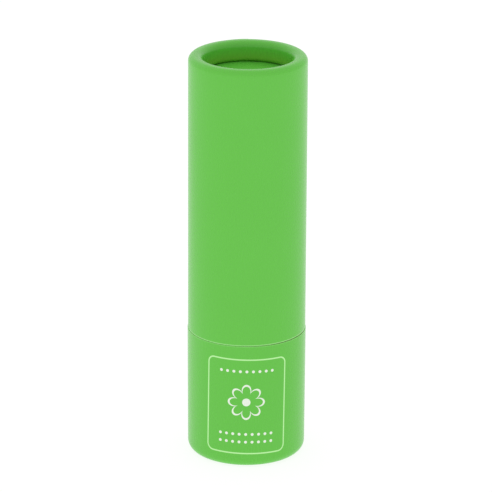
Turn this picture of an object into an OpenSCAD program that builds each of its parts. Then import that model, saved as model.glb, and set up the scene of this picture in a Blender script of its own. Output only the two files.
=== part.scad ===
// Twist-up lip balm stick in a rolled-edge paper tube, closed and standing on its base.
// Millimetres. Z runs up the tube's axis from the surface it stands on, and -Y is the front.
// Turning the neck by hand against the base drives the carrier up the screw.

/* [Overall] */
// Height of the closed stick
total_h = 69.8; // [66:0.1:85]
// Outer diameter of the base, over its wrap
base_d = 20.0; // [19.5:0.1:26]
// Step from the cap's side out to the base's side
cap_step = 0.07; // [0:0.01:0.3]
// Height of the base's top edge above the ground
base_h = 21.9; // [19:0.1:26]
// Open line between the base and the closed cap
seam_gap = 0.15; // [0.1:0.05:0.6]

/* [Paper] */
// Thickness of the tubes' wound board
board_t = 1.1; // [0.6:0.05:1.3]
// Thickness of the green printed paper
wrap_t = 0.12; // [0.08:0.01:0.2]
// Thickness of the board discs that close both ends
disc_t = 1.0; // [0.6:0.1:1.6]
// Thickness of the neck's board sleeve
sleeve_t = 0.8; // [0.5:0.05:1.1]
// Rounding of the wrap's cut edges
cut_round = 0.06; // [0.02:0.01:0.08]

/* [Rolled rims] */
// Depth of the recess inside each rolled rim
roll_h = 3.5; // [2.6:0.1:3.9]
// Outer rounding of the cap's rolled rim
cap_crown_r = 1.0; // [0.5:0.05:1.1]
// Inner rounding of the cap's rolled rim
cap_inner_r = 1.1; // [0.4:0.05:1.2]
// Outer rounding of the base's rolled rim
base_crown_r = 1.6; // [0.6:0.05:1.8]
// Inner rounding of the base's rolled rim
base_inner_r = 0.4; // [0.3:0.05:0.55]
// Rounding where a rolled rim turns under, against the disc
tuck_r = 0.7; // [0.3:0.05:0.8]

/* [Twist wheel] */
// Thickness of the wheel's floor
wheel_floor_t = 1.2; // [0.8:0.1:1.6]
// Height of the socket boss on the wheel's floor
boss_h = 2.0; // [1.4:0.1:3]
// Radius of the socket boss
boss_r = 4.2; // [3.4:0.1:5]
// Distance from the wheel's rim up to the top of the base
wheel_drop = 2.8; // [2:0.1:4]
// Number of stiffening ribs on the wheel's floor
gusset_count = 6; // [3:1:10]
// Thickness of a stiffening rib
gusset_t = 0.8; // [0.5:0.1:1.2]
// Number of glue flutes round the wheel
flute_count = 12; // [6:1:24]
// Radius of a glue flute
flute_r = 0.3; // [0.15:0.05:0.4]

/* [Screw] */
// Travel up the screw in one full turn
thread_lead = 6; // [4:0.5:9]
// Number of threads side by side
thread_starts = 2; // [1:1:3]
// Radius of the screw's core
core_r = 1.5; // [1.2:0.05:1.8]
// Height of the thread over the core
thread_depth = 0.6; // [0.4:0.05:0.8]
// Radius of the plain journal that turns in the barrel's floor
journal_r = 2.4; // [2.2:0.05:2.8]
// Radius of the thrust flange above the barrel's floor
flange_r = 3.9; // [3.3:0.1:4.6]
// Thickness of the thrust flange
flange_t = 0.8; // [0.6:0.1:1.2]
// Radius across the corners of the hexagonal foot
foot_r = 2.25; // [1.8:0.05:2.4]
// Plain lead-in above the thread
pilot_h = 0.8; // [0.5:0.1:1.5]

/* [Barrel] */
// Thickness of the barrel's wall
barrel_wall = 0.9; // [0.6:0.05:1.1]
// Thickness of the barrel's floor
barrel_floor_t = 1.0; // [0.8:0.1:1.5]
// Height of the barrel's lip above its sleeve
barrel_proud = 0.5; // [0.3:0.1:1]
// Rounding of the barrel's lip
lip_round = 0.25; // [0.1:0.05:0.28]
// Thickness of the ring that the sleeve stands on
seat_t = 0.8; // [0.5:0.1:1]
// Number of guide ribs inside the barrel
rib_count = 2; // [2:1:4]
// Height of a guide rib
rib_h = 0.5; // [0.3:0.05:0.6]
// Width of a guide rib
rib_w = 1.0; // [0.6:0.1:1.6]
// Distance from a guide rib's end up to the lip
rib_drop = 2.0; // [1:0.1:4]

/* [Carrier and balm] */
// Height of the carrier's cup
cup_h = 5.0; // [4:0.1:6]
// Thickness of the cup's wall
cup_wall = 1.0; // [0.8:0.05:1.2]
// Thickness of the cup's floor
cup_floor_t = 1.2; // [0.8:0.1:1.6]
// Outer radius of the nut in the cup
nut_r = 3.4; // [3.1:0.1:3.8]
// Height of the nut
nut_h = 5.4; // [4.4:0.1:6.4]
// Length of nut still on the thread with the balm fully up
nut_grip = 3.0; // [2:0.1:4]
// Number of fins that anchor the wax in the cup
fin_count = 4; // [2:1:6]
// Thickness of a fin
fin_t = 0.6; // [0.4:0.1:1]
// Height of a fin above the cup's floor
fin_h = 2.4; // [1.5:0.1:3]
// Wax left above the screw's tip with the balm down
tip_wax = 2.0; // [1.5:0.1:3]
// Rise of the balm's domed tip
dome_h = 1.2; // [0.6:0.1:2]
// Distance from the balm's tip up to the barrel's lip with the balm down
tip_drop = 0.4; // [0.2:0.1:1]

/* [Fits] */
// Glue line, and the play between pieces that are fixed together
glue = 0.02; // [0.01:0.01:0.05]
// Radial play of the cap on the neck
cap_fit = 0.08; // [0.03:0.01:0.1]
// Radial play of the barrel in the wheel and of the journal in the floor
turn_fit = 0.05; // [0.03:0.01:0.1]
// Radial play of the carrier and balm in the barrel
slide_fit = 0.08; // [0.04:0.01:0.1]
// Play at the sides and tops of the guide ribs
rib_fit = 0.1; // [0.06:0.01:0.2]
// Play between the screw and the nut
thread_fit = 0.15; // [0.12:0.01:0.2]
// Axial play at each side of the barrel's floor
float_gap = 0.15; // [0.1:0.01:0.3]
// Open space between faces that pass or close on each other
clear_gap = 0.3; // [0.2:0.02:0.5]
// Space between the raised balm and the closed cap's disc
headroom = 0.76; // [0.3:0.02:1]

/* [Hidden] */

$fn = 96;
green = [0.42, 0.765, 0.325];
board_brown = [0.72, 0.60, 0.45];
moulded_white = [0.93, 0.93, 0.91];
wax_cream = [0.96, 0.91, 0.74];

// Radii, from the outside inwards
base_r = base_d / 2;
cap_r = base_r - cap_step;
wall_t = wrap_t + glue + board_t;
roll_t = 2 * wall_t;
base_bore_r = base_r - wall_t;
cap_bore_r = cap_r - wall_t;
sleeve_r = cap_bore_r - cap_fit;
barrel_r = sleeve_r - sleeve_t - glue;
barrel_bore_r = barrel_r - barrel_wall;
wheel_r = base_bore_r - glue;
wheel_bore_r = barrel_r + turn_fit;
carrier_r = barrel_bore_r - slide_fit;
cup_bore_r = carrier_r - cup_wall;
crest_r = core_r + thread_depth;
bore_r = crest_r + thread_fit;

// Heights of the base's pieces, from the ground up
base_disc_z = roll_h + glue + wrap_t + glue;
wheel_z = base_disc_z + disc_t + glue;
wheel_floor_z = wheel_z + wheel_floor_t;
boss_z = wheel_floor_z + boss_h;
wheel_top_z = base_h - wheel_drop;
barrel_z = boss_z + float_gap;
barrel_floor_z = barrel_z + barrel_floor_t;
flange_z = barrel_floor_z + float_gap;
thread_z = flange_z + flange_t;
carrier_z = thread_z + clear_gap;

// Heights of the cap's pieces
cap_z = base_h + seam_gap;
cap_len = total_h - cap_z;
cap_disc_z = total_h - base_disc_z - disc_t;

// The balm's tip starts under the lip and ends under the closed cap's disc. The screw ends in
// the wax below that tip, which leaves one travel for both.
screw_reach = nut_grip + pilot_h + clear_gap + tip_wax;
travel = (cap_disc_z - headroom - carrier_z - screw_reach) / 2;
tip_z = carrier_z + travel + screw_reach;
lip_z = tip_z + tip_drop;
thread_len = carrier_z + travel + nut_grip - thread_z;
spindle_tip_z = thread_z + thread_len + pilot_h;
seat_z = wheel_top_z + clear_gap;
sleeve_z = seat_z + seat_t + glue;
sleeve_top_z = lip_z - barrel_proud;
dome_r = (pow(carrier_r, 2) + pow(dome_h, 2)) / (2 * dome_h);

// Steps of the thread
thread_points = 24;
steps_per_turn = 20;

// Overlap of solids that are joined end to end
sink = 0.1;

echo(travel_mm = travel, turns = travel / thread_lead, lip_mm = lip_z, cap_floor_mm = cap_disc_z);

// Rectangle from low to high with its own radius at each corner:
// low left, low right, high right, high left. A radius of 0 leaves the corner sharp.
module rounded_section(low, high, radii) {
    corners = [low, [high.x, low.y], high, [low.x, high.y]];
    inward = [[1, 1], [-1, 1], [-1, -1], [1, -1]];
    union() {
        polygon([for (i = [0 : 3]) each corner_points(corners[i], inward[i], radii[i], i % 2 == 0)]);
        for (i = [0 : 3]) if (radii[i] > 0) intersection() {
            translate(corners[i] + inward[i] * radii[i]) circle(r = radii[i]);
            translate(corners[i] + inward[i] * radii[i] / 2) square(radii[i], center = true);
        }
    }
}

// The two ends of a rounded corner in turning order, or the corner itself where it is sharp
function corner_points(corner, inward, radius, upright_first) =
    let (upright = corner + [0, inward.y * radius], level = corner + [inward.x * radius, 0])
    radius == 0 ? [corner] : upright_first ? [upright, level] : [level, upright];

// Half section of a rolled rim that closes at z = length, drawn in by inset on every side.
// The two roundings of its end are limited by the thickness of the roll.
module rim_section(outer_r, length, crown_r, inner_r, inset) {
    crown = min(crown_r, roll_t * 0.73);
    inner = min(inner_r, roll_t * 0.95 - crown);
    rounded_section([outer_r - roll_t + inset, length - roll_h + inset],
        [outer_r - inset, length - inset],
        [tuck_r - inset, 0, crown - inset, inner - inset]);
}

// Half section of a straight wall from the open end at z = 0 up into the rim
module wall_section(inner_r, outer_r, length, edge_r) {
    rounded_section([inner_r, 0], [outer_r, length - roll_h / 2], [0, edge_r, 0, 0]);
}

// Board tube with its open end at z = 0 and its rolled rim at z = length
module rolled_tube(outer_r, length, crown_r, inner_r) {
    inset = wrap_t + glue;
    rotate_extrude() {
        rim_section(outer_r, length, crown_r, inner_r, inset);
        wall_section(outer_r - wall_t, outer_r - inset, length, 0);
    }
}

// Printed paper round such a tube, turned over its rim and tucked under the roll
module rolled_wrap(outer_r, length, crown_r, inner_r) {
    rotate_extrude() difference() {
        union() {
            rim_section(outer_r, length, crown_r, inner_r, 0);
            wall_section(outer_r - wrap_t, outer_r, length, cut_round);
        }
        rim_section(outer_r, length, crown_r, inner_r, wrap_t);
        translate([outer_r - wall_t - glue, -1])
            square([board_t + 2 * glue, length - roll_h / 2 + 1]);
    }
}

// Turns a piece made with its rim up so that the rim stands on the ground
module rim_down(height) {
    translate([0, 0, height]) mirror([0, 0, 1]) children();
}

// Round disc standing on the height z
module disc(radius, thickness, z) {
    translate([0, 0, z]) cylinder(r = radius, h = thickness);
}

// Ring between two radii, from z up to top
module ring(inner_r, outer_r, z, top) {
    rotate_extrude() translate([inner_r, z]) square([outer_r - inner_r, top - z]);
}

module cap_tube() {
    color(board_brown) translate([0, 0, cap_z]) rolled_tube(cap_r, cap_len, cap_crown_r, cap_inner_r);
}

module cap_wrap() {
    color(green) translate([0, 0, cap_z]) rolled_wrap(cap_r, cap_len, cap_crown_r, cap_inner_r);
}

module cap_end_disc() {
    color(board_brown) disc(cap_bore_r - glue, disc_t, cap_disc_z);
}

module cap_disc_facing() {
    color(green) disc(cap_bore_r - glue, wrap_t, cap_disc_z + disc_t + glue);
}

module base_tube() {
    color(board_brown) rim_down(base_h) rolled_tube(base_r, base_h, base_crown_r, base_inner_r);
}

module base_wrap() {
    color(green) rim_down(base_h) rolled_wrap(base_r, base_h, base_crown_r, base_inner_r);
}

module base_end_disc() {
    color(board_brown) disc(base_bore_r - glue, disc_t, base_disc_z);
}

module base_disc_facing() {
    color(green) disc(base_bore_r - glue, wrap_t, roll_h + glue);
}

// Cup glued into the base, with a socket for the screw's foot
module twist_wheel() {
    color(moulded_white) difference() {
        union() {
            disc(wheel_r, wheel_floor_t, wheel_z);
            ring(wheel_bore_r, wheel_r, wheel_z, wheel_top_z);
            disc(boss_r, boss_z - wheel_z, wheel_z);
            for (i = [0 : gusset_count - 1]) rotate(i * 360 / gusset_count) gusset();
        }
        spindle_foot(glue);
        for (i = [0 : flute_count - 1]) rotate((i + 0.5) * 360 / flute_count)
            translate([wheel_r, 0, wheel_z - 1]) cylinder(r = flute_r, h = wheel_top_z - wheel_z + 2, $fn = 24);
    }
}

// Radial rib on the wheel's floor, lower than the boss so that the barrel clears it
module gusset() {
    inner = boss_r - gusset_t / 2;
    translate([inner, -gusset_t / 2, wheel_z])
        cube([wheel_bore_r + turn_fit - inner, gusset_t, boss_z - clear_gap - wheel_z]);
}

// Hexagonal foot of the screw, grown by a margin for its socket. It ends inside the journal.
module spindle_foot(margin) {
    depth = boss_h + wheel_floor_t / 2;
    translate([0, 0, boss_z - depth - margin])
        cylinder(r = foot_r + margin, h = depth + sink + 2 * margin, $fn = 6);
}

// Screw keyed into the wheel: foot, journal, thrust flange, thread and pilot
module screw_spindle() {
    color(moulded_white) union() {
        spindle_foot(0);
        disc(journal_r, flange_z + sink - boss_z, boss_z);
        disc(flange_r, flange_t, flange_z);
        translate([0, 0, thread_z - sink]) thread(thread_len + sink, 0);
        translate([0, 0, thread_z + thread_len - sink])
            cylinder(r1 = core_r, r2 = core_r * 0.7, h = pilot_h + sink);
    }
}

// Right-hand thread from the screw's own height, grown by a margin for the nut. The start
// height sets the phase, so a nut cut at any height is in mesh.
module thread(length, margin, start_z = thread_z - sink) {
    phase = (start_z - thread_z) * 360 / thread_lead;
    turn = length * 360 / thread_lead;
    slices = ceil(turn / 360 * steps_per_turn);
    rotate(phase) linear_extrude(height = length, twist = -turn, slices = slices, $fn = thread_points)
        polygon([for (i = [0 : thread_points - 1]) let (a = i * 360 / thread_points)
            thread_radius(a, margin) * [cos(a), sin(a)]]);
}

// Radius of the thread's cross-section at an angle
function thread_radius(angle, margin) =
    core_r + margin + thread_depth * pow(max(0, cos(thread_starts * angle)), 0.7);

// Inner tube that holds the balm and turns in the wheel
module barrel() {
    color(moulded_white) difference() {
        union() {
            rotate_extrude() rounded_section([barrel_bore_r, barrel_z], [barrel_r, lip_z],
                [0, 0, lip_round, lip_round]);
            disc(barrel_bore_r + barrel_wall / 2, barrel_floor_t, barrel_z);
            ring(barrel_bore_r + barrel_wall / 2, sleeve_r - turn_fit, seat_z, seat_z + seat_t);
            for (i = [0 : rib_count - 1]) rotate(i * 360 / rib_count) guide_rib(0);
        }
        disc(journal_r + turn_fit, barrel_floor_t + 2, barrel_z - 1);
    }
}

// Guide rib along the barrel's bore, grown by a margin for the slots that ride on it
module guide_rib(margin) {
    reach = barrel_wall / 2 + rib_h + margin;
    translate([barrel_bore_r - rib_h - margin, -rib_w / 2 - margin, barrel_floor_z - margin])
        cube([reach, rib_w + 2 * margin, lip_z - rib_drop - barrel_floor_z + 2 * margin]);
}

// Cuts the slots that let a piece ride on the guide ribs, also above their ends
module rib_slots() {
    difference() {
        children();
        for (i = [0 : rib_count - 1]) rotate(i * 360 / rib_count)
            translate([barrel_bore_r - rib_h - rib_fit, -rib_w / 2 - rib_fit, carrier_z - 1])
                cube([rib_h + rib_fit + 1, rib_w + 2 * rib_fit, tip_z - carrier_z + 2]);
    }
}

module neck_sleeve() {
    color(board_brown) ring(barrel_r + glue, sleeve_r, sleeve_z, sleeve_top_z);
}

// Cup with a threaded nut, which the ribs keep from turning
module carrier() {
    color(moulded_white) rib_slots() difference() {
        union() {
            disc(carrier_r, cup_floor_t, carrier_z);
            ring(cup_bore_r, carrier_r, carrier_z, carrier_z + cup_h);
            disc(nut_r, nut_h, carrier_z);
            for (i = [0 : fin_count - 1]) rotate((i + 0.5) * 360 / fin_count) anchor_fin(0);
        }
        translate([0, 0, carrier_z - sink])
            thread(nut_h + 2 * sink, thread_fit, carrier_z - sink);
    }
}

// Fin between the nut and the cup's wall, grown by a margin for its slot in the wax
module anchor_fin(margin) {
    inner = nut_r - fin_t / 2;
    translate([inner, -fin_t / 2 - margin, carrier_z + cup_floor_t / 2])
        cube([cup_bore_r + cup_wall / 4 - inner, fin_t + 2 * margin, cup_floor_t / 2 + fin_h + margin]);
}

// Wax stick cast round the nut and fins, with a channel for the screw
module balm() {
    low_z = carrier_z + cup_floor_t + glue;
    rim_z = carrier_z + cup_h + glue;
    color(wax_cream) rib_slots() difference() {
        rotate_extrude() intersection() {
            union() {
                translate([0, low_z]) square([cup_bore_r - glue, tip_z - low_z]);
                translate([0, rim_z]) square([carrier_r, tip_z - rim_z]);
            }
            translate([0, tip_z - dome_r]) circle(r = dome_r, $fn = 256);
        }
        disc(nut_r + glue, nut_h + glue, carrier_z);
        disc(bore_r, spindle_tip_z + clear_gap - carrier_z, carrier_z);
        for (i = [0 : fin_count - 1]) rotate((i + 0.5) * 360 / fin_count) anchor_fin(glue);
    }
}

cap_tube();
cap_wrap();
cap_end_disc();
cap_disc_facing();
base_tube();
base_wrap();
base_end_disc();
base_disc_facing();
twist_wheel();
screw_spindle();
barrel();
neck_sleeve();
carrier();
balm();
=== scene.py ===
import logging
import math
from dataclasses import dataclass, field, replace
from enum import Enum

import bpy
from mathutils import Matrix, Vector


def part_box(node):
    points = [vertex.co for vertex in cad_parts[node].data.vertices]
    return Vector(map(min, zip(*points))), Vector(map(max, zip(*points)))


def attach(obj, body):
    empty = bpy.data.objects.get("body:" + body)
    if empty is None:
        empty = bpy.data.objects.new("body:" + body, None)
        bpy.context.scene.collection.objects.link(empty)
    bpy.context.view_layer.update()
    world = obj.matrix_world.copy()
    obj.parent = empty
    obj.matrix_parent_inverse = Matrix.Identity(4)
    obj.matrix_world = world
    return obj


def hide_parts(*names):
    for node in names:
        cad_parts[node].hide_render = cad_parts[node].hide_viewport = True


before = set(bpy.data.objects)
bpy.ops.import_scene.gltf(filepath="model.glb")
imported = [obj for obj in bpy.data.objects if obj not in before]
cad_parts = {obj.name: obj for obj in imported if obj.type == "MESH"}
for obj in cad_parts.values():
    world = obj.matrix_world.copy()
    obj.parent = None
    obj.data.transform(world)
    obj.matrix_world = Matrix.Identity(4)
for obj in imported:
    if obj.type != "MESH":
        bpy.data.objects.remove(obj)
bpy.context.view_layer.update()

LOG = logging.getLogger("lip_balm_stick")

Material = bpy.types.Material
Socket = bpy.types.NodeSocket

MM = 0.001
IMAGE_PX = 492
SENSOR_MM = 36.0
WHITE = (1.0, 1.0, 1.0, 1.0)

# Weight of the painted shade on the paper of the rolled rim: past its crown, and where it faces
# inwards
TUCK_CROWN = 0.4
TUCK_INWARD = 0.5


class Slot(Enum):
    """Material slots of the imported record."""

    GREEN_PAPER = "green_paper"
    TUBE_BOARD = "tube_board"
    MOULDED_PLASTIC = "moulded_plastic"
    BALM_WAX = "balm_wax"


class Body(Enum):
    """Bodies that move as one."""

    BASE = "base"
    NECK = "neck"
    ELEVATOR = "elevator"
    CAP = "cap"


def reach(node: str) -> float:
    """Returns the outer radius of a CAD node in metres."""
    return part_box(node)[1].x


def reach_y(node: str) -> float:
    """Returns the outer radius of a CAD node along Y, clear of its side grooves."""
    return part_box(node)[1].y


def low(node: str) -> float:
    """Returns the lowest height of a CAD node in metres."""
    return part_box(node)[0].z


def high(node: str) -> float:
    """Returns the highest height of a CAD node in metres."""
    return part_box(node)[1].z


# Node trees


class Graph:
    """Short way to fill a shader or geometry node tree."""

    def __init__(self, tree: bpy.types.NodeTree) -> None:
        """Keeps the node tree that the calls add to."""
        self.tree = tree

    def add(self, kind: str, inputs: dict | None = None, **settings: object) -> bpy.types.Node:
        """Adds one node.

        Args:
            kind: Blender's type name of the node.
            inputs: Value or output socket for each input, by name or number.
            **settings: Properties of the node itself.

        Returns:
            The new node.
        """
        node = self.tree.nodes.new(kind)
        for name, value in settings.items():
            setattr(node, name, value)
        for key, value in (inputs or {}).items():
            self.feed(node.inputs[key], value)
        return node

    def feed(self, socket: Socket, value: object) -> None:
        """Links an output into a socket, or sets the socket's own value.

        Args:
            socket: The input socket.
            value: An output socket, or a plain value.
        """
        if isinstance(value, Socket):
            self.tree.links.new(value, socket)
        else:
            socket.default_value = value

    def math(self, operation: str, *values: object) -> Socket:
        """Adds a math node on up to three numbers or sockets and returns its result."""
        return self.add("ShaderNodeMath", dict(enumerate(values)), operation=operation).outputs[0]

    def vector(self, operation: str, *values: object) -> Socket:
        """Adds a vector math node and returns its vector."""
        inputs = dict(enumerate(values))
        return self.add("ShaderNodeVectorMath", inputs, operation=operation).outputs["Vector"]

    def length(self, vector: object) -> Socket:
        """Returns the length of a vector."""
        return self.add("ShaderNodeVectorMath", {0: vector}, operation="LENGTH").outputs["Value"]

    def scaled(self, vector: object, factor: object) -> Socket:
        """Returns a vector stretched by a number."""
        inputs = {0: vector, "Scale": factor}
        return self.add("ShaderNodeVectorMath", inputs, operation="SCALE").outputs["Vector"]

    def join(self, x: object = 0.0, y: object = 0.0, z: object = 0.0) -> Socket:
        """Returns the vector of three numbers."""
        return self.add("ShaderNodeCombineXYZ", {"X": x, "Y": y, "Z": z}).outputs[0]

    def split(self, vector: object) -> tuple:
        """Returns the three numbers of a vector."""
        return tuple(self.add("ShaderNodeSeparateXYZ", {0: vector}).outputs)

    def ramp(self, value: object, start: object, end: object, low_value: float = 0.0,
             high_value: float = 1.0, smooth: bool = True) -> Socket:
        """Maps a value from one range to another, held at both ends.

        Args:
            value: The number or socket to map.
            start: The value that gives low_value.
            end: The value that gives high_value.
            low_value: Result at start.
            high_value: Result at end.
            smooth: Whether the change eases in and out.

        Returns:
            The result socket.
        """
        kind = "SMOOTHSTEP" if smooth else "LINEAR"
        inputs = {"Value": value, "From Min": start, "From Max": end,
                  "To Min": low_value, "To Max": high_value}
        return self.add("ShaderNodeMapRange", inputs, interpolation_type=kind).outputs[0]


# Profiles and revolved shells


@dataclass(frozen=True)
class Spot:
    """One point of a half section, with what the revolve or the finish does to it there."""

    r: float
    z: float
    pleat: float = 0.0
    lap: float = 0.0
    key: float = 0.0
    # Share of the pale cut core colour, which also serves as a painted highlight
    core: float = 0.0
    # Share of painted shade where the paper rolls in over the rim
    tuck: float = 0.0
    hem: float = 0.0


def weights_at(weights: dict, share: float) -> dict:
    """Returns the weights part of the way along a stretch, from one value each or two."""
    return {name: value[0] + (value[1] - value[0]) * share if isinstance(value, tuple) else value
            for name, value in weights.items()}


@dataclass
class Profile:
    """Closed half section that is revolved round the Z axis."""

    spots: list[Spot] = field(default_factory=list)

    def point(self, r: float, z: float, **weights: float) -> "Profile":
        """Adds a point and returns the profile."""
        self.spots.append(Spot(r, z, **weights))
        return self

    def line(self, r: float, z: float, steps: int, **weights: float | tuple) -> "Profile":
        """Adds a straight stretch from the last point.

        Args:
            r: Radius of its end.
            z: Height of its end.
            steps: Number of points that it adds.
            **weights: Weights of the added points.

        Returns:
            The profile.
        """
        start = self.spots[-1]
        for i in range(1, steps + 1):
            t = i / steps
            self.point(start.r + (r - start.r) * t, start.z + (z - start.z) * t,
                       **weights_at(weights, t))
        return self

    def arc(self, r: float, z: float, radius: float, start: float, end: float, steps: int,
            **weights: float | tuple) -> "Profile":
        """Adds an arc, angles in degrees from the outward direction towards +Z.

        Args:
            r: Radius of its centre.
            z: Height of its centre.
            radius: Radius of the arc itself.
            start: Angle of its first point.
            end: Angle of its last point.
            steps: Number of stretches along it.
            **weights: Weights of the added points.

        Returns:
            The profile.
        """
        for i in range(steps + 1):
            a = math.radians(start + (end - start) * i / steps)
            self.point(r + radius * math.cos(a), z + radius * math.sin(a),
                       **weights_at(weights, i / steps))
        return self

    def area(self) -> float:
        """Returns twice the signed area, positive when the loop runs counter-clockwise."""
        pairs = zip(self.spots, self.spots[1:] + self.spots[:1])
        return sum(a.r * b.z - b.r * a.z for a, b in pairs)

    def object(self, name: str) -> bpy.types.Object:
        """Makes the loop a mesh of edges for the revolve tree.

        Args:
            name: Name of the object.

        Returns:
            The object, in the XY plane, with its weights as attributes.
        """
        spots = self.spots if self.area() < 0 else self.spots[::-1]
        count = len(spots)
        # A stretch on the axis has no surface, so the loop is opened there
        on_axis = [i for i in range(count) if spots[i].r == spots[(i + 1) % count].r == 0]
        first = (on_axis[0] + 1) % count if on_axis else 0
        spots = spots[first:] + spots[:first]
        edges = [(i, (i + 1) % count) for i in range(count - len(on_axis))]
        mesh = bpy.data.meshes.new(name)
        mesh.from_pydata([(s.r - REVOLVE.spine, -s.z, 0.0) for s in spots], edges, [])
        for weight in ("pleat", "lap", "key", "core", "tuck", "hem"):
            values = mesh.attributes.new(weight, "FLOAT", "POINT")
            values.data.foreach_set("value", [getattr(s, weight) for s in spots])
        piece = bpy.data.objects.new(name, mesh)
        bpy.context.scene.collection.objects.link(piece)
        return piece


@dataclass(frozen=True)
class RevolveTree:
    """Geometry tree that revolves a half section, with folds, a paper lap, keyways and a hem."""

    spine: float = 10 * MM
    weld: float = 0.001 * MM
    lap_edge_deg: float = 0.5
    lap_full: float = 0.25
    pleat_along: float = 0.12
    pleat_detail: float = 2.0
    wobble_scale: float = 1.1
    hem_falloff: float = 1.6

    SOCKETS = {
        "NodeSocketInt": ("Steps", "Keys"),
        "NodeSocketFloat": ("Pleat Height", "Pleats", "Wobble", "Lap Height", "Lap Width",
                            "Key Height", "Key Width", "Hem Drop", "Hem Turn", "Seed"),
        "NodeSocketMaterial": ("Finish",),
    }

    def build(self) -> bpy.types.NodeTree:
        """Makes the tree once, for every revolved piece to share.

        Returns:
            The tree.
        """
        made = bpy.data.node_groups.get("revolve")
        if made:
            return made
        tree = bpy.data.node_groups.new("revolve", "GeometryNodeTree")
        face = tree.interface
        face.new_socket("Geometry", in_out="INPUT", socket_type="NodeSocketGeometry")
        for kind, names in self.SOCKETS.items():
            for name in names:
                face.new_socket(name, in_out="INPUT", socket_type=kind)
        face.new_socket("Geometry", in_out="OUTPUT", socket_type="NodeSocketGeometry")
        g = Graph(tree)
        given = g.add("NodeGroupInput").outputs
        section = g.add("GeometryNodeMeshToCurve", {"Mesh": given["Geometry"]})
        circle = g.add("GeometryNodeCurvePrimitiveCircle",
                       {"Resolution": given["Steps"], "Radius": self.spine}, mode="RADIUS")
        upright = g.add("GeometryNodeSetCurveNormal", {"Curve": circle.outputs[0]}, mode="Z_UP")
        shell = g.add("GeometryNodeCurveToMesh",
                      {"Curve": upright.outputs[0], "Profile Curve": section.outputs[0]})
        for kind, inputs in (("GeometryNodeSetPosition", {"Offset": self.offset(g, given)}),
                             ("GeometryNodeMergeByDistance", {"Distance": self.weld}),
                             ("GeometryNodeSetShadeSmooth", {}),
                             ("GeometryNodeRealizeInstances", {}),
                             ("GeometryNodeSetMaterial", {"Material": given["Finish"]}),
                             ("NodeGroupOutput", {})):
            shell = g.add(kind, {"Geometry": shell.outputs[0], **inputs})
        return tree

    def offset(self, g: Graph, given: bpy.types.NodeOutputs) -> Socket:
        """Works out how far each point is moved.

        Args:
            g: The tree's graph.
            given: The tree's inputs.

        Returns:
            The offset socket.
        """
        x, y, z = g.split(g.add("GeometryNodeInputPosition").outputs[0])
        flat = g.join(x, y)
        outward = g.vector("NORMALIZE", flat)
        radius = g.length(flat)
        bearing = g.math("ARCTAN2", y, x)
        weight = {name: g.add("GeometryNodeInputNamedAttribute", {"Name": name},
                              data_type="FLOAT").outputs["Attribute"]
                  for name in ("pleat", "lap", "key", "hem")}

        # Folds are stretched along the section, so they run over the rim like creased paper
        unit_x, unit_y, _ = g.split(outward)
        along = g.math("MULTIPLY", z, self.pleat_along / self.spine)
        spot = g.join(unit_x, unit_y, along)
        fold = g.math("MULTIPLY", self.wave(g, given, spot, given["Pleats"], self.pleat_detail), 2.0)
        pleat = g.math("MULTIPLY", g.math("MULTIPLY", fold, given["Pleat Height"]), weight["pleat"])
        by_pleat = g.scaled(g.add("GeometryNodeInputNormal").outputs[0], pleat)

        # The whole tube is a hair out of round
        wobble = g.math("MULTIPLY", self.wave(g, given, spot, self.wobble_scale, detail=0.0),
                        given["Wobble"])
        lap = g.math("MULTIPLY", self.lap(g, given, g.math("ARCTAN2", x, y), radius),
                     g.math("MULTIPLY", given["Lap Height"], weight["lap"]))
        key = g.math("MULTIPLY", g.math("MULTIPLY", self.keyways(g, given, bearing, radius),
                                        weight["key"]), given["Key Height"])
        by_radius = g.scaled(outward, g.math("SUBTRACT", g.math("ADD", wobble, lap), key))

        drop = g.math("MULTIPLY", self.hem(g, given, bearing),
                      g.math("MULTIPLY", given["Hem Drop"], weight["hem"]))
        return g.vector("ADD", g.vector("ADD", by_pleat, by_radius), g.join(z=drop))

    def wave(self, g: Graph, given: bpy.types.NodeOutputs, spot: object, scale: object,
             detail: float) -> Socket:
        """Adds an uneven wave.

        Args:
            g: The tree's graph.
            given: The tree's inputs, which hold the seed.
            spot: Place on the piece.
            scale: Waves across the piece.
            detail: Octaves.

        Returns:
            The wave socket, from -0.5 to 0.5.
        """
        inputs = {"Vector": spot, "W": given["Seed"], "Scale": scale, "Detail": detail}
        noise = g.add("ShaderNodeTexNoise", inputs, noise_dimensions="4D")
        return g.math("SUBTRACT", noise.outputs["Fac"], 0.5)

    def lap(self, g: Graph, given: bpy.types.NodeOutputs, turn: object, radius: object) -> Socket:
        """Lets the paper's free edge lie over its other end at the back.

        Args:
            g: The tree's graph.
            given: The tree's inputs.
            turn: Angle from the back.
            radius: Distance from the axis.

        Returns:
            The share socket, 1 at the free edge and 0 away from it.
        """
        width = given["Lap Width"]
        fade = g.ramp(g.math("MULTIPLY", turn, radius), g.math("MULTIPLY", width, -1.0),
                      g.math("MULTIPLY", width, -self.lap_full))
        edge = g.math("LESS_THAN", turn, math.radians(self.lap_edge_deg))
        return g.math("MULTIPLY", fade, edge)

    def keyways(self, g: Graph, given: bpy.types.NodeOutputs, bearing: object,
                radius: object) -> Socket:
        """Marks the keyways, which stand at even angles from the +X side.

        Args:
            g: The tree's graph.
            given: The tree's inputs.
            bearing: Angle from the +X side.
            radius: Distance from the axis.

        Returns:
            The mask socket.
        """
        pitch = g.math("DIVIDE", math.tau, g.math("MAXIMUM", given["Keys"], 1.0))
        half = g.math("MULTIPLY", pitch, 0.5)
        shifted = g.math("FLOORED_MODULO", g.math("ADD", bearing, half), pitch)
        off_key = g.math("ABSOLUTE", g.math("SUBTRACT", shifted, half))
        return g.math("LESS_THAN", g.math("MULTIPLY", off_key, radius),
                      g.math("MULTIPLY", given["Key Width"], 0.5))

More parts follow.
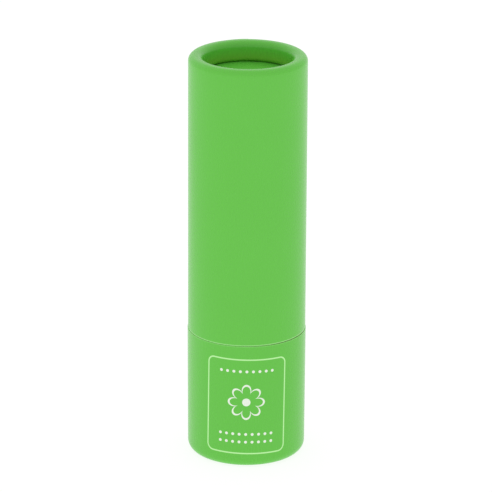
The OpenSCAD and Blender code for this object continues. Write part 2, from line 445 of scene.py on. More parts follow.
    def hem(self, g: Graph, given: bpy.types.NodeOutputs, bearing: object) -> Socket:
        """Returns how far round to the hem's lowest side a bearing lies, from 0 to 1."""
        lean = g.math("COSINE", g.math("SUBTRACT", bearing, given["Hem Turn"]))
        return g.math("POWER", g.math("MULTIPLY", g.math("ADD", lean, 1.0), 0.5), self.hem_falloff)


REVOLVE = RevolveTree()


def baked(piece: bpy.types.Object, tree: bpy.types.NodeTree, values: dict) -> bpy.types.Object:
    """Runs a geometry tree on an object and keeps the result as a plain mesh.

    Args:
        piece: Object that carries the input geometry.
        tree: Geometry node tree.
        values: Value for each named input of the tree.

    Returns:
        The same object with its new mesh and no modifier.
    """
    modifier = piece.modifiers.new("shape", "NODES")
    modifier.node_group = tree
    for item in tree.interface.items_tree:
        if item.item_type == "SOCKET" and item.in_out == "INPUT" and item.name in values:
            modifier[item.identifier] = values[item.name]
    piece.update_tag()
    graph = bpy.context.evaluated_depsgraph_get()
    graph.update()
    mesh = bpy.data.meshes.new_from_object(piece.evaluated_get(graph))
    piece.modifiers.remove(modifier)
    old = piece.data
    piece.data = mesh
    bpy.data.meshes.remove(old)
    mesh.name = piece.name
    return piece


@dataclass(frozen=True)
class Turned:
    """How one revolved piece is finished by the revolve tree."""

    steps: int = 480
    pleat_height: float = 0.0
    pleats: float = 14.0
    wobble: float = 0.0
    lap_height: float = 0.0
    lap_width: float = 4 * MM
    key_height: float = 0.0
    key_width: float = 1 * MM
    keys: int = 2
    hem_drop: float = 0.0
    hem_deg: float = 0.0
    seed: float = 1.0
    crease_deg: float = 38.0

    def make(self, name: str, profile: Profile, finish: Material) -> bpy.types.Object:
        """Revolves a profile.

        Args:
            name: Name of the piece.
            profile: Its closed half section.
            finish: Its material.

        Returns:
            The piece as a plain mesh.
        """
        piece = baked(profile.object(name), REVOLVE.build(), {
            "Steps": self.steps, "Pleat Height": self.pleat_height, "Pleats": self.pleats,
            "Wobble": self.wobble, "Lap Height": self.lap_height, "Lap Width": self.lap_width,
            "Key Height": self.key_height, "Key Width": self.key_width, "Keys": self.keys,
            "Hem Drop": self.hem_drop, "Hem Turn": math.radians(self.hem_deg),
            "Seed": self.seed, "Finish": finish,
        })
        piece.data.set_sharp_from_angle(angle=math.radians(self.crease_deg))
        return piece


# Finishes


def new_material(name: str) -> tuple[Material, Graph]:
    """Makes an empty node material.

    Args:
        name: Name of the material.

    Returns:
        The material and a graph on its tree.
    """
    material = bpy.data.materials.new(name)
    material.use_nodes = True
    material.node_tree.nodes.clear()
    return material, Graph(material.node_tree)


def surface(g: Graph, inputs: dict) -> None:
    """Ends a material in a Principled shader with the inputs given."""
    shader = g.add("ShaderNodeBsdfPrincipled", inputs)
    g.add("ShaderNodeOutputMaterial", {"Surface": shader.outputs[0]})


def object_place(g: Graph) -> Socket:
    """Returns the object coordinates in millimetres."""
    place = g.add("ShaderNodeTexCoord").outputs["Object"]
    return g.vector("MULTIPLY", place, (1 / MM,) * 3)


def unrolled(g: Graph, place: Socket) -> Socket:
    """Unrolls a round wall so that patterns lie along it.

    Args:
        g: The material's graph.
        place: Object coordinates in millimetres.

    Returns:
        A vector of arc length, height and radius in millimetres, with its join at the back.
    """
    x, y, z = g.split(place)
    radius = g.math("SQRT", g.math("ADD", g.math("MULTIPLY", x, x), g.math("MULTIPLY", y, y)))
    turn = g.math("ARCTAN2", x, g.math("MULTIPLY", y, -1.0))
    return g.join(g.math("MULTIPLY", turn, radius), z, radius)


def blend_colours(g: Graph, amount: object, first: object, second: object) -> Socket:
    """Mixes two colours, where an amount of 0 gives the first and 1 the second."""
    # The mix node's sockets for colours are inputs 6 and 7 and output 2
    node = g.add("ShaderNodeMix", {0: amount, 6: first, 7: second}, data_type="RGBA")
    return node.outputs[2]


def blend_values(g: Graph, share: float, first: object, second: object) -> Socket:
    """Mixes two values by the second one's share."""
    return g.math("ADD", g.math("MULTIPLY", first, 1.0 - share), g.math("MULTIPLY", second, share))


@dataclass(frozen=True)
class Grain:
    """Noise pattern: its cells in a millimetre, octaves, their fine share and the used range."""

    per_mm: float
    detail: float = 2.0
    fine: float = 0.5
    start: float = 0.0
    end: float = 1.0

    def raw(self, g: Graph, place: object) -> Socket:
        """Returns the noise at a place in millimetres, from 0 to 1 round 0.5."""
        inputs = {"Vector": place, "Scale": self.per_mm, "Detail": self.detail,
                  "Roughness": self.fine}
        return g.add("ShaderNodeTexNoise", inputs).outputs["Fac"]

    def opened(self, g: Graph, place: object) -> Socket:
        """Returns the noise with its used range opened to 0 to 1."""
        return g.ramp(self.raw(g, place), self.start, self.end)


@dataclass(frozen=True)
class Relief:
    """Fine relief of a finish."""

    height: float
    strength: float

    def normal(self, g: Graph, value: object) -> Socket:
        """Returns the normal that a height value from 0 to 1 gives."""
        inputs = {"Strength": self.strength, "Distance": self.height, "Height": value}
        return g.add("ShaderNodeBump", inputs).outputs[0]


@dataclass(frozen=True)
class Gloss:
    """Roughness of a finish, and how far a pattern changes it."""

    middle: float
    spread: float

    def roughness(self, g: Graph, value: object) -> Socket:
        """Returns the roughness that a pattern value from 0 to 1 gives."""
        return g.math("ADD", g.math("MULTIPLY", value, self.spread), self.middle - self.spread / 2)


@dataclass(frozen=True)
class Depth:
    """How light scatters under a surface."""

    weight: float
    radius: tuple
    scale: float

    def inputs(self) -> dict:
        """Returns the shader's inputs."""
        return {"Subsurface Weight": self.weight, "Subsurface Radius": self.radius,
                "Subsurface Scale": self.scale}


@dataclass(frozen=True)
class Panel:
    """Pale print on the front of the base: a thin border, a rosette and rows of beads."""

    ink: tuple = (0.94, 0.98, 0.88, 1.0)
    ink_thin: tuple = (0.80, 0.96, 0.72, 1.0)
    ink_grain: Grain = Grain(9.0, detail=3.0, fine=0.65, start=0.25, end=0.6)
    border_ink: tuple = (0.55, 0.99, 0.41, 1.0)
    half_width_mm: float = 6.9
    low_mm: float = 2.62
    high_mm: float = 19.5
    flower_mm: float = 11.9
    askew_deg: float = 0.8
    corner_mm: float = 1.1
    line_mm: float = 0.24
    edge_mm: float = 0.02
    skin_mm: float = 9.5
    petals: int = 8
    petal_out_mm: float = 3.0
    petal_in_mm: float = 1.7
    petal_swell: float = 0.6
    petal_line_mm: float = 0.34
    eye_mm: float = 0.7
    bead_pitch_mm: float = 1.1
    bead_r_mm: float = 0.25
    bead_rows_mm: tuple = (4.7, 6.1, 17.4)
    bead_half_count: int = 4

    def within(self, g: Graph, distance: object, limit: float) -> Socket:
        """Returns 1 where a distance is under a limit, with a narrow soft edge."""
        return g.ramp(distance, limit - self.edge_mm, limit + self.edge_mm, 1.0, 0.0, smooth=False)

    def border(self, g: Graph, along: object, above: object) -> Socket:
        """Draws the thin line round the panel.

        Args:
            g: The material's graph.
            along: Arc length from the panel's middle.
            above: Height from the panel's middle.

        Returns:
            The mask socket.
        """
        half_height = (self.high_mm - self.low_mm) / 2
        out = [g.math("SUBTRACT", g.math("ABSOLUTE", value), half - self.corner_mm)
               for value, half in ((along, self.half_width_mm), (above, half_height))]
        beyond = g.length(g.join(g.math("MAXIMUM", out[0], 0.0), g.math("MAXIMUM", out[1], 0.0)))
        inside = g.math("MINIMUM", g.math("MAXIMUM", out[0], out[1]), 0.0)
        distance = g.math("SUBTRACT", g.math("ADD", beyond, inside), self.corner_mm)
        return self.within(g, g.math("ABSOLUTE", distance), self.line_mm / 2)

    def rosette(self, g: Graph, along: object, above: object) -> Socket:
        """Draws the outlined flower and its eye.

        Args:
            g: The material's graph.
            along: Arc length from the flower's middle.
            above: Height from the flower's middle.

        Returns:
            The mask socket.
        """
        away = g.length(g.join(along, above))
        turn = g.math("ARCTAN2", along, above)
        wave = g.math("ABSOLUTE", g.math("COSINE", g.math("MULTIPLY", turn, self.petals / 2)))
        swell = g.math("POWER", wave, self.petal_swell)
        outline = g.math("ADD", g.math("MULTIPLY", swell, self.petal_out_mm - self.petal_in_mm),
                         self.petal_in_mm)
        rim = g.math("ABSOLUTE", g.math("SUBTRACT", away, outline))
        return g.math("MAXIMUM", self.within(g, rim, self.petal_line_mm / 2),
                      self.within(g, away, self.eye_mm))

    def beads(self, g: Graph, along: object, height: object) -> Socket:
        """Draws the rows of round beads.

        Args:
            g: The material's graph.
            along: Arc length from the panel's middle.
            height: Height from the ground.

        Returns:
            The mask socket.
        """
        pitch = self.bead_pitch_mm
        nearest = g.math("MULTIPLY", g.math("ROUND", g.math("DIVIDE", along, pitch)), pitch)
        off = g.math("SUBTRACT", along, nearest)
        mask = 0.0
        for row in self.bead_rows_mm:
            away = g.length(g.join(off, g.math("SUBTRACT", height, row)))
            mask = g.math("MAXIMUM", mask, self.within(g, away, self.bead_r_mm))
        limit = (self.bead_half_count + 0.5) * pitch
        return g.math("MULTIPLY", mask, g.math("LESS_THAN", g.math("ABSOLUTE", along), limit))

    def print(self, g: Graph, sheet: object, paper: object) -> Socket:
        """Prints the panel over the paper's colour.

        Args:
            g: The material's graph.
            sheet: Arc length, height and radius in millimetres.
            paper: Colour of the paper.

        Returns:
            The colour socket.
        """
        # The print lies a little askew on the paper, lower on its right
        middle = Vector((0.0, (self.high_mm + self.low_mm) / 2, 0.0))
        placed = g.add("ShaderNodeVectorRotate",
                       {"Vector": sheet, "Center": middle, "Angle": math.radians(self.askew_deg)},
                       rotation_type="Z_AXIS").outputs[0]
        along, height, radius = g.split(placed)
        border = self.border(g, along, g.math("SUBTRACT", height, middle.y))
        flower = self.rosette(g, along, g.math("SUBTRACT", height, self.flower_mm))
        motifs = g.math("MAXIMUM", flower, self.beads(g, along, height))
        # Only the outside of the tube is printed
        outside = g.math("GREATER_THAN", radius, self.skin_mm)
        framed = blend_colours(g, g.math("MULTIPLY", border, outside), paper, self.border_ink)
        ink = blend_colours(g, self.ink_grain.opened(g, sheet), self.ink_thin, self.ink)
        return blend_colours(g, g.math("MULTIPLY", motifs, outside), framed, ink)


@dataclass(frozen=True)
class PrintedPaper:
    """Thin printed paper with a satin varnish, over a fibrous sheet."""

    name: str = "printed_green_paper"
    light: tuple = (0.139, 0.594, 0.065, 1.0)
    deep: tuple = (0.136, 0.585, 0.063, 1.0)
    # Painted shade: these two colours darken the paper inside the rolled rim and in its crease
    rolled_in_shade: tuple = (0.122, 0.528, 0.055, 1.0)
    crease_shade: tuple = (0.172, 0.470, 0.042, 1.0)
    # Pale cut core, brightened so that it also serves as a painted highlight at the seam
    core: tuple = (0.49, 0.97, 0.37, 1.0)
    cloud: Grain = Grain(0.09, detail=3.0, start=0.3, end=0.7)
    fibre: Grain = Grain(2.2, detail=4.0, fine=0.6, start=0.35, end=0.65)
    fibre_stretch: float = 0.22
    fibre_share: float = 0.15
    tooth: Grain = Grain(6.0, detail=3.0, fine=0.6)
    relief: Relief = Relief(height=0.0015 * MM, strength=0.3)
    gloss: Gloss = Gloss(middle=0.27, spread=0.012)
    index: float = 1.4
    panel: Panel | None = None

    def material(self) -> Material:
        """Makes the finish.

        Returns:
            The material.
        """
        material, g = new_material(self.name)
        place = object_place(g)
        sheet = unrolled(g, place)
        stretched = g.vector("MULTIPLY", sheet, (1.0, self.fibre_stretch, 1.0))
        fibre = self.fibre.opened(g, stretched)
        mottle = blend_values(g, self.fibre_share, self.cloud.opened(g, place), fibre)
        colour = blend_colours(g, mottle, self.deep, self.light)
        # Painted shade: the paper is coloured a little darker where it is rolled in, and darker and
        # browner still down in the crease, for the shade inside the rim
        tuck = g.add("ShaderNodeAttribute", attribute_name="tuck").outputs["Fac"]
        rim_shade_mask = g.ramp(tuck, 0.0, TUCK_INWARD, smooth=False)
        colour = blend_colours(g, rim_shade_mask, colour, self.rolled_in_shade)
        crease_shade_mask = g.ramp(tuck, TUCK_INWARD, 1.0, smooth=False)
        colour = blend_colours(g, crease_shade_mask, colour, self.crease_shade)
        # A cut edge shows the sheet's pale core; the pale colour also runs a little way up the outer
        # face as a painted highlight line along the seam
        cut_and_highlight = g.add("ShaderNodeAttribute", attribute_name="core").outputs["Fac"]
        colour = blend_colours(g, cut_and_highlight, colour, self.core)
        if self.panel:
            colour = self.panel.print(g, sheet, colour)
        surface(g, {"Base Color": colour, "Roughness": self.gloss.roughness(g, fibre),
                    "IOR": self.index, "Normal": self.relief.normal(g, self.tooth.raw(g, place))})
        return material


@dataclass(frozen=True)
class WoundBoard:
    """Recycled brown board wound from spiral plies."""

    name: str = "wound_board"
    pale: tuple = (0.46, 0.31, 0.175, 1.0)
    brown: tuple = (0.37, 0.24, 0.13, 1.0)
    fleck: tuple = (0.15, 0.09, 0.05, 1.0)
    cloud: Grain = Grain(0.25)
    fibre: Grain = Grain(3.2, detail=5.0, fine=0.65)
    fibre_squeeze: float = 0.45
    fibre_share: float = 0.6
    body_range: tuple = (0.32, 0.68)
    flecks: Grain = Grain(3.4, start=0.69, end=0.76)
    fleck_depth: float = 0.55
    line_depth: float = 0.45
    ply_mm: float = 0.3
    ply_range: tuple = (0.30, 0.48)
    strip_mm: float = 19.0
    join_mm: float = 0.14
    join_dip: float = 0.8
    relief: Relief = Relief(height=0.03 * MM, strength=0.6)
    roughness: float = 0.85
    index: float = 1.4

    def material(self) -> Material:
        """Makes the finish.

        Returns:
            The material.
        """
        material, g = new_material(self.name)
        place = object_place(g)
        sheet = unrolled(g, place)
        along, height, radius = g.split(sheet)
        squeezed = g.vector("MULTIPLY", sheet, (self.fibre_squeeze, 1.0, 1.0))
        fibre = self.fibre.raw(g, squeezed)
        body = g.ramp(blend_values(g, self.fibre_share, self.cloud.raw(g, place), fibre),
                      *self.body_range)
        # The strip that the tube is wound from climbs one width in a turn
        turn = g.math("DIVIDE", along, g.math("MULTIPLY", radius, math.tau))
        climb = g.math("SUBTRACT", g.math("DIVIDE", height, self.strip_mm), turn)
        beside = g.math("ABSOLUTE", g.math("SUBTRACT", g.math("FRACT", climb), 0.5))
        join = g.ramp(beside, 0.0, self.join_mm / self.strip_mm, 1.0, 0.0)
        # Cut edges show the plies as rings
        rings = g.math("FRACT", g.math("DIVIDE", radius, self.ply_mm))
        ply = g.ramp(g.math("ABSOLUTE", g.math("SUBTRACT", rings, 0.5)), *self.ply_range)
        paper = blend_colours(g, body, self.brown, self.pale)
        lines = g.math("MULTIPLY", g.math("MAXIMUM", join, ply), self.line_depth)
        lined = blend_colours(g, lines, paper, self.fleck)
        flecks = g.math("MULTIPLY", self.flecks.opened(g, squeezed), self.fleck_depth)
        relief = g.math("SUBTRACT", fibre, g.math("MULTIPLY", join, self.join_dip))
        surface(g, {"Base Color": blend_colours(g, flecks, lined, self.fleck),
                    "Roughness": self.roughness, "IOR": self.index,
                    "Normal": self.relief.normal(g, relief)})
        return material


@dataclass(frozen=True)
class MouldedPlastic:
    """White polypropylene with a fine spark finish and a slight glow in thin walls."""

    name: str = "moulded_white_plastic"
    colour: tuple = (0.80, 0.80, 0.76, 1.0)
    shade: tuple = (0.74, 0.745, 0.70, 1.0)
    flow: Grain = Grain(0.25, detail=3.0)
    flow_stretch: float = 0.25
    flow_range: tuple = (0.3, 0.7)
    spark: Grain = Grain(11.0, fine=0.6)
    relief: Relief = Relief(height=0.008 * MM, strength=0.25)
    gloss: Gloss = Gloss(middle=0.38, spread=0.12)
    depth: Depth = Depth(weight=0.25, radius=(0.9, 0.9, 0.8), scale=0.6 * MM)
    index: float = 1.49

    def material(self) -> Material:
        """Makes the finish.

        Returns:
            The material.
        """
        material, g = new_material(self.name)
        place = object_place(g)
        stretched = g.vector("MULTIPLY", place, (1.0, 1.0, self.flow_stretch))
        flow = self.flow.raw(g, stretched)
        colour = blend_colours(g, g.ramp(flow, *self.flow_range), self.shade, self.colour)
        surface(g, {"Base Color": colour, "Roughness": self.gloss.roughness(g, flow),
                    "IOR": self.index, **self.depth.inputs(),
                    "Normal": self.relief.normal(g, self.spark.raw(g, place))})
        return material


@dataclass(frozen=True)
class BalmWax:
    """Pale wax, a little translucent, with bloom and pinholes from pouring."""

    name: str = "poured_wax"
    clear: tuple = (0.86, 0.775, 0.525, 1.0)
    bloom: tuple = (0.895, 0.83, 0.61, 1.0)
    cloud: Grain = Grain(0.3, detail=4.0, start=0.28, end=0.72)
    ripple: Grain = Grain(5.0, detail=4.0, fine=0.6)
    ripple_share: float = 0.5
    pit_per_mm: float = 1.7
    pit_range: tuple = (0.03, 0.12)
    relief: Relief = Relief(height=0.03 * MM, strength=0.5)
    gloss: Gloss = Gloss(middle=0.36, spread=0.16)
    depth: Depth = Depth(weight=0.5, radius=(1.6, 1.2, 0.7), scale=0.8 * MM)
    index: float = 1.44

    def material(self) -> Material:
        """Makes the finish.

        Returns:
            The material.
        """
        material, g = new_material(self.name)
        place = object_place(g)
        cloud = self.cloud.opened(g, place)
        cells = g.add("ShaderNodeTexVoronoi", {"Vector": place, "Scale": self.pit_per_mm})
        pits = g.ramp(cells.outputs["Distance"], *self.pit_range)
        relief = blend_values(g, self.ripple_share, pits, self.ripple.raw(g, place))
        surface(g, {"Base Color": blend_colours(g, cloud, self.clear, self.bloom),
                    "Roughness": self.gloss.roughness(g, cloud),
                    "IOR": self.index, **self.depth.inputs(),
                    "Normal": self.relief.normal(g, relief)})
        return material


@dataclass(frozen=True)
class StudioFloor:
    """White sweep that glows like a light table and is see-through from below."""

    name: str = "white_sweep"
    colour: tuple = (0.20, 0.20, 0.20, 1.0)
    shade: tuple = (0.19, 0.19, 0.19, 1.0)
    grain: Grain = Grain(0.8)
    roughness: float = 0.9
    specular: float = 0.1
    glow: float = 0.86

    def material(self) -> Material:
        """Makes the finish.

        Returns:
            The material.
        """
        material, g = new_material(self.name)
        grain = self.grain.raw(g, object_place(g))
        top = g.add("ShaderNodeBsdfPrincipled", {
            "Base Color": blend_colours(g, grain, self.shade, self.colour),
            "Roughness": self.roughness, "Specular IOR Level": self.specular,
            "Emission Color": WHITE, "Emission Strength": self.glow})
        clear = g.add("ShaderNodeBsdfTransparent")
        underside = g.add("ShaderNodeNewGeometry").outputs["Backfacing"]
        both = g.add("ShaderNodeMixShader", {0: underside, 1: top.outputs[0], 2: clear.outputs[0]})
        g.add("ShaderNodeOutputMaterial", {"Surface": both.outputs[0]})
        return material


# Sub-assemblies


def settle(piece: bpy.types.Object, body: Body, slot: Slot, *nodes: str) -> bpy.types.Object:
    """Fixes a finished piece to its body, and hides the CAD nodes that it stands for.

    Args:
        piece: The piece.
        body: The body that it rides on.
        slot: Not used.
        *nodes: CAD nodes that it replaces.

    Returns:
        The piece.
    """
    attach(piece, body.value)
    if nodes:
        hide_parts(*nodes)
    LOG.info("%s: %d faces on %s", piece.name, len(piece.data.polygons), body.value)
    return piece


def finish_node(node: str, material: Material) -> None:
    """Gives a CAD node that stays its material.

    Args:
        node: Name of the CAD node.
        material: Its finish.
    """
    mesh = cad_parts[node].data
    mesh.materials.clear()
    mesh.materials.append(material)
    LOG.info("%s: CAD node finished with %s", node, material.name)


@dataclass
class RolledTube:
    """Board tube with one rolled rim, its printed paper and the papered disc behind the rim."""

    part: str
    body: Body
    rim_up: bool
    crown_r: float
    inner_r: float
    tuck_r: float = 0.7 * MM
    draw_in: float = 0.0
    hem: float = 0.0
    hem_deg: float = -114.0
    # Pale colour at the cut edge and in a band up the outer face: partly the paper's core, partly a
    # painted highlight line at the seam
    bare_edge_and_highlight: float = 0.2
    highlight_band: float = 0.18 * MM
    cut_round: float = 0.05 * MM
    glue: float = 0.02 * MM
    disc_dish: float = 0.06 * MM
    disc_rings: int = 14
    wall_steps: int = 40
    arc_steps: int = 9
    paper_turn: Turned = Turned(steps=600, pleat_height=0.02 * MM, wobble=0.05 * MM,
                                lap_height=0.1 * MM)
    board_turn: Turned = Turned(steps=360)
    disc_turn: Turned = Turned(steps=240)

    def __post_init__(self) -> None:
        """Takes the tube's sizes from its CAD nodes."""
        wrap, board, disc = f"{self.part}_wrap", f"{self.part}_tube", f"{self.part}_end_disc"
        self.outer_r = reach(wrap)
        self.paper_t = self.outer_r - reach(board) - self.glue
        self.bore_r = reach(disc) + self.glue
        self.roll_t = 2 * (self.outer_r - self.bore_r)
        self.rim_r = self.outer_r - self.draw_in
        self.up = 1.0 if self.rim_up else -1.0
        self.rim_z = high(wrap) if self.rim_up else low(wrap)
        self.open_z = low(wrap) if self.rim_up else high(wrap)
        facing = f"{self.part}_disc_facing"
        self.disc_z = high(facing) if self.rim_up else low(facing)
        self.roll_z = self.disc_z + self.up * self.glue

    def height(self, from_rim: float) -> float:
        """Returns the height that lies a distance in from the rim."""
        return self.rim_z - self.up * from_rim

    def roll(self, profile: Profile, inset: float, **weights: float) -> Profile:
        """Adds the outside of the rolled rim, from the outer wall to under the roll.

        Args:
            profile: The profile to go on with.
            inset: Depth under the printed surface.
            **weights: Weights of the outer side; the inner side is folded and tucked instead.

        Returns:
            The profile.
        """
        n, up = self.arc_steps, self.up
        crown = self.crown_r
        inner = self.rim_r - self.roll_t
        under = abs(self.rim_z - self.roll_z)
        tuck_z = self.height(under - self.tuck_r)
        profile.arc(self.rim_r - crown, self.height(crown), crown - inset,
                    start=0, end=up * 90, steps=n, **weights)
        # The inner side of the roll gets painted shade, rising towards the crease
        profile.arc(inner + self.inner_r, self.height(self.inner_r), self.inner_r - inset,
                    start=up * 90, end=up * 180, steps=n,
                    pleat=(0.0, 1.0), tuck=(TUCK_CROWN, TUCK_INWARD))
        profile.line(inner + inset, tuck_z, steps=n, pleat=1.0, tuck=(TUCK_INWARD, 1.0))
        profile.arc(inner + self.tuck_r, tuck_z, self.tuck_r - inset,
                    start=up * 180, end=up * 270, steps=n, pleat=1.0, tuck=1.0)
        profile.line(self.bore_r, self.height(under - inset), steps=3)
        return profile

    def paper_profile(self) -> Profile:
        """Draws the section of the printed paper.

        Returns:
            The profile.
        """
        t = self.paper_t
        edge = self.cut_round
        edge_z = self.open_z + self.up * edge
        p = Profile()
        # The cut edge and a narrow band above it take the pale colour, partly the paper's core and
        # partly a painted highlight
        p.point(self.outer_r - t, self.open_z, core=self.bare_edge_and_highlight, hem=1.0)
        p.arc(self.outer_r - edge, edge_z, edge, start=-90 * self.up, end=0, steps=3,
              lap=1.0, core=self.bare_edge_and_highlight, hem=1.0)
        p.point(self.outer_r, edge_z + self.up * self.highlight_band, lap=1.0, hem=1.0)
        p.line(self.rim_r, self.height(self.crown_r), steps=self.wall_steps, lap=1.0)
        self.roll(p, 0.0, lap=1.0)
        back = self.roll(Profile(), t)
        p.spots.extend(reversed(back.spots))
        p.line(self.outer_r - t, edge_z, steps=2, hem=1.0)
        return p

    def board_profile(self) -> Profile:
        """Draws the section of the wound board.

        Returns:
            The profile.
        """
        inset = self.paper_t + self.glue
        p = Profile()
        p.point(self.bore_r, self.open_z)
        p.point(self.outer_r - inset, self.open_z)
        p.line(self.rim_r - inset, self.height(self.crown_r), steps=4)
        self.roll(p, inset)
        p.line(self.bore_r, self.open_z + self.up * self.glue, steps=4)
        return p

    def disc_profile(self) -> Profile:
        """Draws the section of the paper on the end disc, a little dished.

        Returns:
            The profile.
        """
        r = self.bore_r - self.glue
        p = Profile()
        for i in range(self.disc_rings + 1):
            t = i / self.disc_rings
            p.point(r * t, self.disc_z - self.up * self.disc_dish * (1 - t ** 2))
        p.point(r, self.disc_z - self.up * self.paper_t)
        p.point(0.0, self.disc_z - self.up * (self.paper_t + self.disc_dish))
        return p

    def build(self, wrapping: Material, paper: Material,
              board: Material) -> None:
        """Builds and dresses the tube.

        Args:
            wrapping: Finish of the paper round the tube.
            paper: Finish of the paper on the disc.
            board: Finish of the board.
        """
        part = self.part
        hemmed = replace(self.paper_turn, hem_drop=-self.up * self.hem, hem_deg=self.hem_deg)
        wrap = hemmed.make(f"{part}_paper_wrap", self.paper_profile(), wrapping)
        settle(wrap, self.body, Slot.GREEN_PAPER, f"{part}_wrap")
        tube = self.board_turn.make(f"{part}_board_tube", self.board_profile(), board)
        settle(tube, self.body, Slot.TUBE_BOARD, f"{part}_tube")
        disc = self.disc_turn.make(f"{part}_disc_paper", self.disc_profile(), paper)
        settle(disc, self.body, Slot.GREEN_PAPER, f"{part}_disc_facing")
        finish_node(f"{part}_end_disc", board)


@dataclass
class Neck:
    """Barrel with its guide ribs and lip, and the board sleeve glued round it."""

    barrel_wall: float = 0.9 * MM
    floor_t: float = 1.0 * MM
    floor_hole_r: float = 2.45 * MM
    seat_t: float = 0.8 * MM
    lip_round: float = 0.25 * MM
    rib_h: float = 0.5 * MM
    rib_w: float = 1.0 * MM
    rib_drop: float = 2.0 * MM
    rib_lead: float = 0.15 * MM
    rib_count: int = 2
    slide_fit: float = 0.08 * MM
    glue: float = 0.02 * MM
    crushed: float = 0.08 * MM
    sleeve_turn: Turned = Turned(steps=360, wobble=0.02 * MM)

    def __post_init__(self) -> None:
        """Takes the neck's sizes from its CAD nodes."""
        self.sleeve_r = reach("neck_sleeve")
        self.sleeve_low, self.sleeve_high = low("neck_sleeve"), high("neck_sleeve")
        self.floor_z, self.lip_z = low("barrel"), high("barrel")
        self.bore_r = reach_y("balm") + self.slide_fit
        self.barrel_r = self.bore_r + self.barrel_wall

    def barrel_profile(self) -> Profile:
        """Draws the barrel's section, with its rib weights along the bore.

        Returns:
            The profile.
        """
        rib_top = self.lip_z - self.rib_drop
        seat_top = self.sleeve_low - self.glue
        seat_low = seat_top - self.seat_t
        seat_r = reach("barrel")
        lip = self.lip_round
        lip_low = self.lip_z - lip
        floor_top = self.floor_z + self.floor_t
        p = Profile()
        p.point(self.floor_hole_r, self.floor_z)
        p.point(self.barrel_r, self.floor_z)
        p.line(self.barrel_r, seat_low, steps=4)
        p.point(seat_r, seat_low)
        p.point(seat_r, seat_top)
        p.point(self.barrel_r, seat_top)
        p.line(self.barrel_r, lip_low, steps=8)
        p.arc(self.barrel_r - lip, lip_low, lip, start=0, end=90, steps=6)
        p.arc(self.bore_r + lip, lip_low, lip, start=90, end=180, steps=6)
        p.line(self.bore_r, rib_top + self.rib_lead, steps=3)
        p.point(self.bore_r, rib_top, key=1.0)
        p.line(self.bore_r, floor_top + self.glue, steps=10, key=1.0)
        p.point(self.bore_r, floor_top)
        p.point(self.floor_hole_r, floor_top)
        return p

    def sleeve_profile(self) -> Profile:
        """Draws the sleeve's section with lightly crushed cut edges.

        Returns:
            The profile.
        """
        inner = self.barrel_r + self.glue
        soft = self.crushed
        p = Profile()
        p.point(inner, self.sleeve_low)
        p.arc(self.sleeve_r - soft, self.sleeve_low + soft, soft, start=-90, end=0, steps=3)
        p.line(self.sleeve_r, self.sleeve_high - soft, steps=16)
        p.arc(self.sleeve_r - soft, self.sleeve_high - soft, soft, start=0, end=90, steps=3)
        p.point(inner, self.sleeve_high)
        return p

    def build(self, plastic: Material, board: Material) -> None:
        """Builds and dresses the neck.

        Args:
            plastic: Finish of the barrel.
            board: Finish of the sleeve.
        """
        ribbed = Turned(steps=720, key_height=self.rib_h, key_width=self.rib_w, keys=self.rib_count)
        barrel = ribbed.make("moulded_barrel", self.barrel_profile(), plastic)
        settle(barrel, Body.NECK, Slot.MOULDED_PLASTIC, "barrel")
        sleeve = self.sleeve_turn.make("neck_board_sleeve", self.sleeve_profile(), board)
        settle(sleeve, Body.NECK, Slot.TUBE_BOARD, "neck_sleeve")


@dataclass
class Elevator:
    """Balm with the grooves that the ribs leave in it, on its moulded carrier."""

    dome_h: float = 1.2 * MM
    dome_sink: float = 0.01 * MM
    dome_rings: int = 18
    edge_r: float = 0.5 * MM
    edge_turn_deg: float = 72.0
    edge_down: float = 0.9
    edge_groove: float = 0.8
    groove_h: float = 0.6 * MM
    groove_w: float = 1.2 * MM
    cup_h: float = 5.0 * MM
    cup_wall: float = 1.0 * MM
    channel_r: float = 2.25 * MM
    nut_r: float = 3.42 * MM
    nut_h: float = 5.42 * MM
    tip_wax: float = 2.0 * MM
    glue: float = 0.02 * MM
    rib_count: int = 2

    def __post_init__(self) -> None:
        """Takes the balm's sizes from its CAD nodes."""
        self.balm_r = reach_y("balm")
        self.low_z, self.tip_z = low("balm"), high("balm")
        self.carrier_z = low("carrier")

    def balm_profile(self) -> Profile:
        """Draws the balm's section: cup end, side, domed tip and the screw's channel.

        Returns:
            The profile.
        """
        cup_r = self.balm_r - self.cup_wall - self.glue
        cup_z = self.carrier_z + self.cup_h + self.glue
        nut_z = self.carrier_z + self.nut_h
        channel_z = self.tip_z - self.tip_wax
        sphere_r = (self.balm_r ** 2 + self.dome_h ** 2) / (2 * self.dome_h)
        shoulder = self.tip_z - self.dome_h
        top_r = self.balm_r - self.edge_r
        p = Profile()
        p.point(self.nut_r, self.low_z)
        p.point(cup_r, self.low_z)
        p.line(cup_r, cup_z, steps=2)
        p.point(self.balm_r, cup_z, key=1.0)
        p.line(self.balm_r, shoulder - self.edge_r, steps=24, key=1.0)
        p.arc(top_r, shoulder - self.edge_r * self.edge_down, self.edge_r,
              start=0, end=self.edge_turn_deg, steps=5, key=self.edge_groove)
        for i in range(self.dome_rings + 1):
            r = top_r * (1 - i / self.dome_rings)
            dome_z = self.tip_z - sphere_r + math.sqrt(sphere_r ** 2 - r ** 2)
            p.point(r, dome_z - self.dome_sink)
        p.point(0.0, channel_z)
        p.point(self.channel_r, channel_z)
        p.line(self.channel_r, nut_z, steps=4)
        p.point(self.nut_r, nut_z)
        return p

    def build(self, wax: Material, plastic: Material) -> None:
        """Builds and dresses the balm and its carrier.

        Args:
            wax: Finish of the balm.
            plastic: Finish of the carrier.
        """
        grooved = Turned(steps=600, key_height=self.groove_h, key_width=self.groove_w,
                         keys=self.rib_count)
        balm = grooved.make("balm_stick", self.balm_profile(), wax)
        settle(balm, Body.ELEVATOR, Slot.BALM_WAX, "balm")
        finish_node("carrier", plastic)


# Camera and light


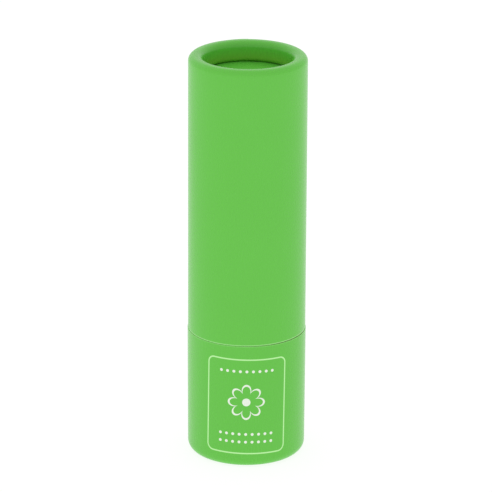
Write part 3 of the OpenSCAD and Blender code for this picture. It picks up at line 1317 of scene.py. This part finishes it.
@dataclass
class Studio:
    """White sweep, soft light and the photograph's camera."""

    elevation_deg: float = 19.36
    distance: float = 665 * MM
    aim_z: float = 36.23 * MM
    focal_px: float = 3955.0
    roll_deg: float = 0.3
    pan_deg: float = 0.0152
    clip: tuple = (0.01, 20.0)
    floor_half: float = 3.0
    sky: float = 0.94
    zenith: float = 0.96
    sky_low: float = 0.3
    sky_high: float = 0.95
    front: float = 0.85
    front_end: float = -0.2
    back_start: float = 0.45
    right_side: float = 0.85
    side_start: float = 0.35

    def camera(self) -> None:
        """Makes the camera and sets it as the scene's own."""
        data = bpy.data.cameras.new("camera")
        data.sensor_width = SENSOR_MM
        data.lens = self.focal_px / IMAGE_PX * SENSOR_MM
        data.clip_start, data.clip_end = self.clip
        eye = bpy.data.objects.new("camera", data)
        bpy.context.scene.collection.objects.link(eye)
        e = math.radians(self.elevation_deg)
        back = Vector((0.0, -math.cos(e), math.sin(e)))
        turn = (-back).to_track_quat("-Z", "Y").to_matrix().to_4x4()
        pan = Matrix.Rotation(math.radians(self.pan_deg), 4, "Y")
        roll = Matrix.Rotation(math.radians(self.roll_deg), 4, "Z")
        aim = Vector((0.0, 0.0, self.aim_z))
        eye.matrix_world = Matrix.Translation(aim + back * self.distance) @ turn @ pan @ roll
        bpy.context.scene.camera = eye

    def floor(self) -> None:
        """Makes the sweep."""
        mesh = bpy.data.meshes.new("sweep")
        h = self.floor_half
        mesh.from_pydata([(-h, -h, 0), (h, -h, 0), (h, h, 0), (-h, h, 0)], [], [(0, 1, 2, 3)])
        mesh.materials.append(StudioFloor().material())
        sweep = bpy.data.objects.new("sweep", mesh)
        bpy.context.scene.collection.objects.link(sweep)

    def light(self) -> None:
        """Makes the white tent, which is a little darker in front and to the right."""
        world = bpy.data.worlds.new("white_tent")
        world.use_nodes = True
        world.node_tree.nodes.clear()
        g = Graph(world.node_tree)
        towards = g.add("ShaderNodeTexCoord").outputs["Generated"]
        x, y, z = g.split(towards)
        strength = g.ramp(z, self.sky_low, self.sky_high, self.sky, self.zenith)
        depth = g.ramp(y, self.front_end, self.back_start, self.front, 1.0)
        flag = g.ramp(x, self.side_start, 1.0, 1.0, self.right_side)
        strength = g.math("MULTIPLY", strength, g.math("MULTIPLY", depth, flag))
        tent = g.add("ShaderNodeBackground", {"Color": WHITE, "Strength": strength})
        g.add("ShaderNodeOutputWorld", {"Surface": tent.outputs[0]})
        bpy.context.scene.world = world

    def build(self) -> None:
        """Sets up the whole studio."""
        scene = bpy.context.scene
        scene.view_settings.view_transform = "Standard"
        scene.view_settings.look = "None"
        self.camera()
        self.floor()
        self.light()


def main() -> None:
    """Builds the stick, its finishes and the studio."""
    logging.basicConfig(level=logging.INFO, format="%(name)s: %(message)s")
    Studio().build()
    paper = PrintedPaper().material()
    board = WoundBoard().material()
    plastic = MouldedPlastic().material()
    wax = BalmWax().material()
    printed = PrintedPaper(name="printed_panel_paper", panel=Panel()).material()
    RolledTube("cap", Body.CAP, rim_up=True, crown_r=1.0 * MM, inner_r=1.1 * MM,
               hem=0.12 * MM, bare_edge_and_highlight=0.85).build(paper, paper, board)
    RolledTube("base", Body.BASE, rim_up=False, crown_r=1.6 * MM, inner_r=0.4 * MM,
               draw_in=0.08 * MM).build(printed, paper, board)
    Neck().build(plastic, board)
    Elevator().build(wax, plastic)
    for node in ("twist_wheel", "screw_spindle"):
        finish_node(node, plastic)


if __name__ == "__main__":
    main()
